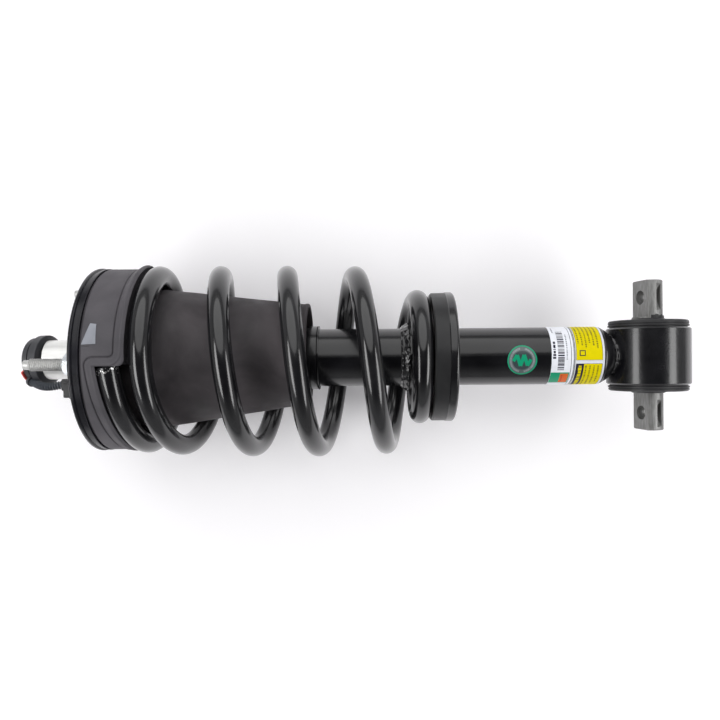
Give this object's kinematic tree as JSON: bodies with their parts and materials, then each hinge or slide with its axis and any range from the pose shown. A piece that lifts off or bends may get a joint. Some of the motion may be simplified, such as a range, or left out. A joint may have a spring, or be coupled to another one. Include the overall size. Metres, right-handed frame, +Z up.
{
  "type": "strut assembly",
  "caption": "Front coil-over suspension strut: studded top mount, coil spring round a controlled damper, and a lower eye with a flattened bar pin.",
  "frame": {"origin": "centre of the stud circle on the top mount's seating face", "axes": "+X from the top mount to the lower eye along the damper; the bar pin lies along Y; +Z is up with the strut lying down and is the side with one stud on top"},
  "size_m": [0.5871, 0.1699, 0.1687],
  "materials": {
    "black_steel": "satin black electrocoat",
    "zinc_stud": "bright zinc plating",
    "zinc_nut": "bright zinc plating",
    "bush_rubber": "moulded rubber",
    "raw_steel": "machined",
    "satin_zinc": "satin zinc plating",
    "cap_plastic": "fine moulded texture",
    "red_plastic": "moulded",
    "conduit_plastic": "corrugated",
    "plug_plastic": "moulded",
    "isolator_rubber": "matt moulded rubber",
    "seat_rubber": "smooth moulded rubber",
    "grey_patch": "plain stick-on patch",
    "dust_rubber": "soft matt moulding",
    "bumper_foam": "cellular foam",
    "spring_paint": "gloss black powder coat",
    "chromed_rod": "ground and chromed",
    "lead_insulation": "insulated wire",
    "copper_winding": "enamelled winding",
    "slide_band": "filled plastic",
    "tube_paint": "gloss black paint",
    "seal_rubber": "seal rubber",
    "gas_piston_alloy": "machined",
    "weld_paint": "painted weld bead",
    "seat_paint": "gloss black paint",
    "eye_paint": "gloss black paint",
    "pin_steel": "plain forged steel",
    "sticker": "printed film with a green ring",
    "label_white": "printed film",
    "label_yellow": "printed film with a white border"
  },
  "bodies": {
    "top_mount": {"mount_plate": "black_steel", "mount_studs": "zinc_stud", "stud_nuts": "zinc_nut", "mount_bush": "bush_rubber", "mount_bush_core": "raw_steel", "bush_washers": "raw_steel", "rod_nut": "raw_steel", "rod_top_sleeve": "satin_zinc", "connector_cap": "cap_plastic", "connector_insert": "cap_plastic", "conduit": "conduit_plastic", "harness_plug": "plug_plastic", "plug_clip": "plug_plastic", "upper_isolator": "isolator_rubber", "maker_patch": "grey_patch", "dust_tube": "dust_rubber", "bumper_cup": "raw_steel", "jounce_bumper": "bumper_foam", "coil_spring": "spring_paint", "piston_rod": "chromed_rod", "rod_lead": "lead_insulation", "piston": "raw_steel", "piston_coil": "copper_winding", "piston_rings": "slide_band", "piston_nut": "raw_steel", "rebound_stop": "slide_band"},
    "damper": {"damper_tube": "tube_paint", "top_cap": "tube_paint", "rod_seal": "seal_rubber", "seal_carrier": "raw_steel", "rod_guide": "raw_steel", "tube_base": "tube_paint", "eye_weld": "weld_paint", "lower_seat": "seat_paint", "seat_weld": "weld_paint", "lower_isolator": "seat_rubber", "lower_eye": "eye_paint", "eye_bushing": "bush_rubber", "round_sticker": "sticker", "white_label": "label_white", "yellow_label": "label_yellow"},
    "gas_piston": {"gas_piston": "gas_piston_alloy", "gas_piston_seal": "seal_rubber"},
    "bar_pin": {"bar_pin": "pin_steel"},
    "connector_lock": {"connector_lock": "red_plastic"}
  },
  "joints": [
    {"name": "damper_travel", "type": "slide", "parent": "top_mount", "child": "damper", "axis": [-1, 0, 0], "range_m": [0, 0.08], "stiffness_N_per_m": 77000, "springref_m": -0.001, "deforming": ["coil_spring"]},
    {"name": "gas_piston_slide", "type": "slide", "parent": "damper", "child": "gas_piston", "axis": [1, 0, 0], "range_m": [0, 0.0097]},
    {"name": "bar_pin_twist", "type": "hinge", "parent": "damper", "child": "bar_pin", "pos_m": [0.4821, 0, 0], "axis": [0, 1, 0], "range_deg": [-15, 15], "stiffness_Nm_per_rad": 60},
    {"name": "connector_lock_slide", "type": "slide", "parent": "top_mount", "child": "connector_lock", "axis": [-1, 0, 0], "range_m": [0, 0.0025]}
  ],
  "couplings": [
    {"joint": "gas_piston_slide", "follows": "damper_travel", "ratio": 0.12098}
  ]
}
